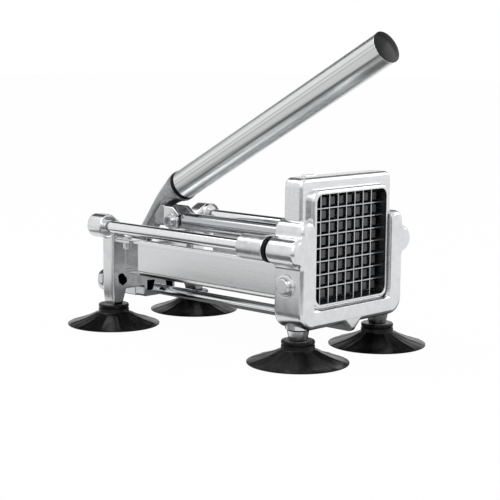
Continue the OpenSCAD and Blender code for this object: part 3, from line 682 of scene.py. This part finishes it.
lever = {
    "pivot": (255.0, -55.0), "pin": (184.5, 2.0), "turn": 36.5,    # degrees the arm leans forward from upright
    "straight": [(4, 7.2, 6.4), (40, 7.3, 6.5), (70, 7.4, 6.8), (85, 7.6, 7.0)],    # from the pivot, then half sizes
    "bend": [(200.5, 17.0, 40, 8.2, 7.7), (194.5, 21.7, 46, 9.4, 9.0)],    # y, z, tilt, half width, half depth
    "socket": [(10, 52.5, 10.9, 10.6), (7, 57, 11.8, 11.7), (4.5, 60, 12.1, 12.1), (3.4, 61.3, 12.2, 12.2),
               (3.1, 61.3, 12.7, 12.7), (1.8, 61.3, 12.7, 12.7), (1.6, 61.3, 12.4, 12.4)],    # behind the grip
    "plug": [(10.3, 1), (10.3, 46), (9.6, 47)], "pivotEyeHalf": 8.7,
    "pivotEye": [(10.2, 0), (11, 0.8), (11, 16.6), (10.2, 17.4)],
    "cheekIn": 5.7, "cheekOut": 9.2, "eye": 7.2,
    "cheekBack": [(175.5, 8.0), (182, 13.2), (188, 13.6), (193.5, 13.6), (193.5, -1)],
    "rootHalf": 8.0, "root": [(192.3, -1.5), (192.3, 13), (195, 14.5), (199, 15), (207, 5), (204, -3), (197, -3)],
}


def drawn(stations, sides=48):
    # An oval drawn out through stations of y, z, tilt in degrees, half width and half depth
    nothingSelected()
    y, z, tilt, wide, deep = stations[0]
    bpy.ops.mesh.primitive_circle_add(vertices=sides, radius=mm, location=at(0, y, z),
                                      rotation=(math.radians(tilt), 0, 0))
    piece = bpy.context.object
    piece.scale = (wide, deep, 1)
    settled(piece)
    bpy.ops.object.mode_set(mode="EDIT")
    bpy.ops.mesh.select_mode(type="EDGE")
    bpy.ops.mesh.select_all(action="SELECT")
    for nextY, nextZ, nextTilt, nextWide, nextDeep in stations[1:]:
        step = (0, (nextY - y) * mm, (nextZ - z) * mm)
        bpy.ops.mesh.extrude_edges_move(TRANSFORM_OT_translate={"value": step})
        centre = at(0, nextY, nextZ)
        bpy.ops.transform.resize(value=(nextWide / wide, nextDeep / deep, nextDeep / deep), center_override=centre)
        bpy.ops.transform.rotate(value=-math.radians(nextTilt - tilt), orient_axis="X", center_override=centre)
        y, z, tilt, wide, deep = nextY, nextZ, nextTilt, nextWide, nextDeep
    bpy.ops.mesh.select_all(action="SELECT")
    bpy.ops.mesh.fill_holes(sides=0)
    bpy.ops.object.mode_set(mode="OBJECT")
    return outward(piece)


def makeLeverArm():
    c = lever
    pivotY, pivotZ = c["pivot"]
    lean = math.radians(c["turn"])

    def along(distance, wide, deep):
        return (pivotY - distance * math.sin(lean), pivotZ + distance * math.cos(lean), c["turn"], wide, deep)

    def behindGrip(distance, tilt, wide, deep):
        return (grip[1] + distance * math.sin(steep), grip[2] - distance * math.cos(steep), tilt, wide, deep)

    arm = drawn([along(*station) for station in c["straight"]] + c["bend"]
                + [behindGrip(*station) for station in c["socket"]])
    plug = turned(c["plug"], grip, handleAxis)
    eye = turned(c["pivotEye"], (-c["pivotEyeHalf"], pivotY, pivotZ), sideways, 64)
    pinY, pinZ = c["pin"]
    cheek = plate([arc((pinY, pinZ), c["eye"], 300, 150, 16) + c["cheekBack"]],
                  c["cheekIn"], c["cheekOut"], 1.0, across="y")
    root = plate([c["root"]], -c["rootHalf"], c["rootHalf"], 2.4, across="y", rounding=4)
    for feature in (plug, eye, root, pairOf(cheek)):
        arm = combined(arm, feature, "UNION")
    holes = joined([turned(bar(radius, 40, 0), (-20, y, z), sideways, 48)
                    for radius, y, z in ((linkPin["bore"], pinY, pinZ), (rear["pivotBore"], pivotY, pivotZ))])
    arm = combined(arm, holes, "DIFFERENCE")
    handOver(arm, "LeverArm", armMetal, "lever", ["lever_arm"], 40)
    for low, high in ((-c["cheekOut"] - 0.1, -c["cheekIn"] + 0.1), (c["cheekIn"] - 0.1, c["cheekOut"] + 0.1)):
        finishAndShadeOnFaces(arm, (low, 174, -6), (high, 191.5, 16), castMetal)    # the ears' faces get the paler casting finish, lighter than the arm


link = {"front": 56.0, "eye": 7.0, "neck": 4.5, "frontNeck": 75.0, "backNeck": 163.0, "eyeHalf": 5.0, "eyeEdge": 0.8,
        "barStart": 70.0, "bar": [(5, 0), (6.4, 1.2), (7, 2.6), (7, 104.2), (6.6, 105.2), (6, 105.6)]}


def makeLink():
    c = link
    pinY, pinZ = lever["pin"]
    linkBar = turned(c["bar"], (0, c["barStart"], pinZ), backwards, 64)

    def endEye(y, neckY, turn):
        outline = arc((y, pinZ), c["eye"], turn, turn + 180, 16)
        outline += arc((neckY, pinZ), c["neck"], turn + 180, turn + 360, 8)
        return plate([outline], -c["eyeHalf"], c["eyeHalf"], c["eyeEdge"], across="y")

    piece = combined(linkBar, endEye(c["front"], c["frontNeck"], 90), "UNION")
    piece = combined(piece, endEye(pinY, c["backNeck"], -90), "UNION")
    holes = joined([turned(bar(linkPin["bore"], 20, 0), (-10, y, pinZ), sideways, 48) for y in (c["front"], pinY)])
    handOver(combined(piece, holes, "DIFFERENCE"), "LinkBar", linkMetal, "link", ["link_bar"])


linkPin = {"bore": 3.55, "end": 16.2, "head": -13.4, "keyRadius": 2.3, "keyDepth": 2.4,
           "pin": [(3, 0), (3.5, 0.6), (3.5, 26.4), (4.9, 26.4), (4.9, 28.6), (4.6, 29.3), (4.0, 29.6)],
           "washerStart": 9.25, "washer": (6.2, 3.55, 0, 0.9, 0.3),    # outer and inner radius, ends, edge
           "nutStart": 10.2, "nut": [(5.3, 0), (6.35, 0.5), (6.35, 4.7), (5.3, 5.2)], "nutBore": 3.6}


def makeLinkPin():
    c = linkPin
    pinY, pinZ = lever["pin"]
    pin = turned(c["pin"], (c["end"], pinY, pinZ), (-1, 0, 0), 64)
    key = turned([(c["keyRadius"], 0), (c["keyRadius"], 4)], (c["head"] + c["keyDepth"], pinY, pinZ), (-1, 0, 0), 6)
    handOver(combined(pin, key, "DIFFERENCE"), "LinkPin", screwMetal, "lever", ["link_pin"])
    washer = turned(collar(*c["washer"]), (c["washerStart"], pinY, pinZ), sideways, 64, ring=True)
    handOver(pairOf(washer), "LinkWashers", screwMetal, "lever", ["link_washers"])
    nut = turned(c["nut"], (c["nutStart"], pinY, pinZ), sideways, 6)
    nut = combined(nut, turned(bar(c["nutBore"], 12, 0), (7, pinY, pinZ), sideways, 48), "DIFFERENCE")
    handOver(nut, "LinkNut", screwMetal, "lever", ["link_nut"])


frameScrew = {"legZ": -44.6, "legRadius": 3.0, "pivotRadius": 4.0, "pivotHead": 6.5, "pivotHeadThick": 4.5,
              "keyRadius": 2.9, "keyDepth": 2.6, "nutThick": 6.5, "pastNut": 1.5,
              "trayX": 45.3, "trayY": 197.0, "trayRadius": 2.0, "slotHalf": 0.45}


def hexHead(radius, thickness, start, direction):
    # A hexagon with its corners turned off on both faces, as on a real bolt or nut
    hexagon = turned([(radius, 0), (radius, thickness)], start, direction, 6)
    cone = turned([(radius * 0.93, -0.2), (radius * 1.03, 0.5), (radius * 1.03, thickness - 1.3),
                   (radius * 0.84, thickness + 0.02)], start, direction, 48)
    return combined(hexagon, cone, "INTERSECT")


def makeLegBolts():
    c = frameScrew
    back = rear["front"] + rear["depth"]
    low, high = reach("leg_bolts")
    spot = frontCasting["footX"]
    head = hexHead(high.x - spot, high.y - back, (spot, back, c["legZ"]), backwards)
    bolt = combined(head, shaft(c["legRadius"], low.y, high.y - 1, spot, c["legZ"], 0.4), "UNION")
    handOver(pairOf(bolt), "LegBolts", screwMetal, "base", ["leg_bolts"])


def makePivotPin():
    c = frameScrew
    fork, (pivotY, pivotZ) = rear["forkOut"], lever["pivot"]
    r, wide, thick = c["pivotRadius"], c["pivotHead"], c["pivotHeadThick"]
    end = fork + c["nutThick"] + c["pastNut"]
    under = end + fork
    pin = turned([(r - 0.6, 0), (r, 0.6), (r, under), (wide, under), (wide, under + thick - 1.1),
                  (wide - 0.3, under + thick - 0.4), (wide - 1, under + thick)],
                 (end, pivotY, pivotZ), (-1, 0, 0), 64)
    keyEnd = (-fork - thick + c["keyDepth"], pivotY, pivotZ)
    key = turned([(c["keyRadius"], 0), (c["keyRadius"], 4)], keyEnd, (-1, 0, 0), 6)
    handOver(combined(pin, key, "DIFFERENCE"), "PivotPin", screwMetal, "base", ["pivot_pin"])
    nut = hexHead(wide / math.cos(math.radians(30)), c["nutThick"], (fork, pivotY, pivotZ), sideways)
    nut = combined(nut, turned(bar(r + 0.05, 12, 0), (fork - 2, pivotY, pivotZ), sideways, 48), "DIFFERENCE")
    handOver(nut, "PivotNut", screwMetal, "base", ["pivot_nut"])


def makeTrayScrews():
    c = frameScrew
    low, high = reach("tray_screws")
    x, y, r, wide = c["trayX"], c["trayY"], c["trayRadius"], high.x - c["trayX"]
    flange = tray["flangeTop"]
    rise = high.z - flange
    screw = turned([(r - 0.4, low.z), (r, low.z + 0.4), (r, flange), (wide, flange), (wide, flange + rise * 0.45),
                    (wide - 0.35, flange + rise * 0.8), (wide - 1, high.z)], (x, y, 0), upwards, 48)
    slot = block((x - 5, y - c["slotHalf"], high.z - 1), (x + 5, y + c["slotHalf"], high.z + 1))
    handOver(pairOf(combined(screw, slot, "DIFFERENCE")), "TrayScrews", screwMetal, "base", ["tray_screws"])


cup = {"collar": 12.2, "ribs": 12, "ribRise": 0.45, "ribStart": 14.0, "ribEnd": 34.5,
       "inside": [(8, 5.9), (15, 5.8), (22, 4.3), (29, 2.1), (34.6, 0)],    # radius and height
       "skirt": [(36.4, 0), (36.9, 0.25), (37.0, 0.9), (34, 1.95), (30, 3.1), (26, 4.3), (22, 5.7), (18, 7.4),
                 (14.5, 9.2), (12.6, 10.4)]}


def ribbed(piece, spot, c):
    # Thin ribs on the skirt: the corners on their lines rise a little
    centre = at(*spot)
    for corner in piece.data.vertices:
        away = corner.co - centre
        out = math.hypot(away.x, away.y) / mm
        share = math.degrees(math.atan2(away.y, away.x)) / (360 / c["ribs"])
        onTop = away.z > (c["ribEnd"] - out) * 0.1 * mm + 0.5 * mm
        if abs(share - round(share)) < 0.02 and c["ribStart"] < out < c["ribEnd"] and onTop:
            corner.co.z += c["ribRise"] * mm


def makeCups():
    c = cup
    table = reach("cup_front_near")[0].z
    r = c["collar"]
    neck = [(r, 11.0), (r, 13.2), (r - 0.3, 13.5), (r - 1.1, 13.7), (r - 1.1, 14.2), (r - 0.3, 14.4), (r, 14.7),
            (r, 16.2), (r - 0.5, 16.8), (r - 1, 16.9), (7.2, 16.9)]
    for node in ("cup_front_near", "cup_front_far", "cup_rear_near", "cup_rear_far"):
        low, high = reach(node)
        spot = ((low.x + high.x) / 2, (low.y + high.y) / 2, table)
        piece = turned(c["inside"] + c["skirt"] + neck, spot, upwards, 96)
        ribbed(piece, spot, c)
        name = "".join(word.capitalize() for word in node.split("_"))
        handOver(piece, name, vinyl, "base", [node], 50)


makeFrontCasting()
makeSideScrews()
makeCassette()
print("front castings made")
makePusher()
makeCarriage()
makeRods()
print("pusher, carriage and rods made")
makeRearCasting()
makeTray()
print("rear casting and tray made")
makeHandle()
makeLeverArm()
makeLink()
makeLinkPin()
print("lever and link made")
makeLegBolts()
makePivotPin()
makeTrayScrews()
makeCups()
print("frame screws and cups made")


studio = {
    "skyLevel": 0.55,      # the world's light on rough surfaces
    "floorWidth": 16.0,
    "lamps": {    # place in metres, width and height, watts
        "KeySoftbox": ((-1.1, -0.9, 1.2), (0.9, 0.9), 6.0),
        "TopSoftbox": ((-0.5, 0.6, 1.4), (1.0, 0.8), 7.0),
        "FillSoftbox": ((1.2, -1.0, 0.7), (1.0, 1.0), 4.0)},
    "cards": {    # dark cards that only metal and gloss see: azimuth, elevation, metres away, size, level
        "CardBackRight": (43, 46, 1.2, (1.5, 1.0), 0.05),
        "CardBack": (12, 17, 1.3, (0.8, 0.3), 0.32),
        "CardRight": (92, 38, 1.3, (0.8, 0.8), 0.3)},
    "floorCards": {    # middle, size, turn in degrees, level
        "CardUnder": ((0.018, 0.0), (0.125, 0.34), 0, 0.14),
        "CardUnderRight": ((0.135, -0.05), (0.11, 0.24), 0, 0.2),
        "CardLeft": ((-0.168, 0.045), (0.145, 0.35), 0, 0.2),
        "CardFarLeft": ((-0.80, 0.60), (1.1, 1.2), 0, 0.84),
        "CardInFront": ((-0.62, -0.58), (1.5, 1.0), -47, 0.16)},
}


def backgroundRays(tree):
    # 1 for rays that show the background: straight, mirrored or through glass
    path = addNode(tree, "ShaderNodeLightPath")
    seen = addNode(tree, "ShaderNodeMath", {"operation": "MAXIMUM"},
                   {0: path.outputs["Is Camera Ray"], 1: path.outputs["Is Glossy Ray"]})
    return addNode(tree, "ShaderNodeMath", {"operation": "MAXIMUM"},
                   {0: seen.outputs["Value"], 1: path.outputs["Is Transmission Ray"]})


def makeWorld():
    world = bpy.data.worlds.new("WhiteStudio")
    bpy.context.scene.world = world
    world.use_nodes = True
    tree = world.node_tree
    tree.nodes.clear()
    shown = backgroundRays(tree)
    level = addNode(tree, "ShaderNodeMapRange", {"To Min": studio["skyLevel"], "To Max": 1.0},
                    {"Value": shown.outputs["Value"]})
    sky = addNode(tree, "ShaderNodeBackground", {"Color": (1, 1, 1, 1)}, {"Strength": level.outputs["Result"]})
    addNode(tree, "ShaderNodeOutputWorld", links={"Surface": sky.outputs["Background"]})


def stagePlane(name, surface, place, size, turn=(0, 0, 0)):
    nothingSelected()
    bpy.ops.mesh.primitive_plane_add(size=1, location=place, rotation=turn)
    plane = bpy.context.object
    plane.scale = (size[0], size[1], 1)
    settled(plane)
    plane.name = name
    material = bpy.data.materials.new(name)
    material.use_nodes = True
    tree = material.node_tree
    tree.nodes.clear()
    addNode(tree, "ShaderNodeOutputMaterial", links={"Surface": surface(tree)})
    plane.data.materials.append(material)
    return plane


def makeFloor():
    def paleFloor(tree):
        # White where it is only background; the matt share keeps the object's soft shadow
        matt = addNode(tree, "ShaderNodeBsdfDiffuse", {"Color": colour("#FAFAFA")})
        glow = addNode(tree, "ShaderNodeEmission", {"Color": (1, 1, 1, 1), "Strength": 1.0})
        shown = backgroundRays(tree)
        share = addNode(tree, "ShaderNodeMath", {"operation": "MULTIPLY", 1: 0.975}, {0: shown.outputs["Value"]})
        mix = addNode(tree, "ShaderNodeMixShader", links={
            "Fac": share.outputs["Value"], 1: matt.outputs["BSDF"], 2: glow.outputs["Emission"]})
        return mix.outputs["Shader"]

    stagePlane("StudioFloor", paleFloor, (0, 0, -0.0002), (studio["floorWidth"], studio["floorWidth"]))


def makeCard(name, place, size, turn, level):
    def dull(tree):
        glow = addNode(tree, "ShaderNodeEmission", {"Color": (1, 1, 1, 1), "Strength": level})
        return glow.outputs["Emission"]

    card = stagePlane(name, dull, place, size, turn)
    card.visible_camera = card.visible_diffuse = card.visible_shadow = card.visible_transmission = False


def makeCards():
    for name, (azimuth, elevation, away, size, level) in studio["cards"].items():
        turn, tilt = math.radians(azimuth), math.radians(elevation)
        line = Vector((math.sin(turn) * math.cos(tilt), math.cos(turn) * math.cos(tilt), math.sin(tilt)))
        facing = line.to_track_quat("Z", "Y").to_euler()
        makeCard(name, Vector((0, 0, 0.09)) + line * away, size, facing, level)
    for name, ((x, y), size, turn, level) in studio["floorCards"].items():
        makeCard(name, (x, y, 0.0003), size, (0, 0, math.radians(turn)), level)


def makeLamps():
    for name, (place, size, watts) in studio["lamps"].items():
        lamp = bpy.data.lights.new(name, "AREA")
        lamp.shape = "RECTANGLE"
        lamp.size, lamp.size_y = size
        lamp.energy = watts
        holder = bpy.data.objects.new(name, lamp)
        bpy.context.scene.collection.objects.link(holder)
        holder.location = place
        holder.rotation_euler = (Vector((0, 0, 0.08)) - Vector(place)).to_track_quat("-Z", "Y").to_euler()


def makeCamera():
    # The photograph's viewpoint, worked out from the blades, rods, castings and cup rims
    view = {"place": (-774.1, -629.5, 141.8), "azimuth": 47.041, "elevation": 7.896, "roll": 0.533,
            "focal": 99.98, "sensor": 36.0, "shift": (-0.0253, -0.0202)}
    turn, tilt, roll = (math.radians(view[k]) for k in ("azimuth", "elevation", "roll"))
    ahead = Vector((math.sin(turn) * math.cos(tilt), math.cos(turn) * math.cos(tilt), -math.sin(tilt)))
    right = Vector((math.cos(turn), -math.sin(turn), 0))
    up = right.cross(ahead)
    right, up = right * math.cos(roll) + up * math.sin(roll), up * math.cos(roll) - right * math.sin(roll)
    lens = bpy.data.cameras.new("PhotoCamera")
    lens.lens, lens.sensor_width = view["focal"], view["sensor"]
    lens.shift_x, lens.shift_y = view["shift"]
    camera = bpy.data.objects.new("PhotoCamera", lens)
    bpy.context.scene.collection.objects.link(camera)
    aim = Matrix((right, up, -ahead)).transposed().to_4x4()
    camera.matrix_world = Matrix.Translation(at(*view["place"])) @ aim
    bpy.context.scene.camera = camera


makeWorld()
makeFloor()
makeLamps()
makeCards()
makeCamera()
bpy.context.scene.view_settings.view_transform = "Standard"
print("studio ready")
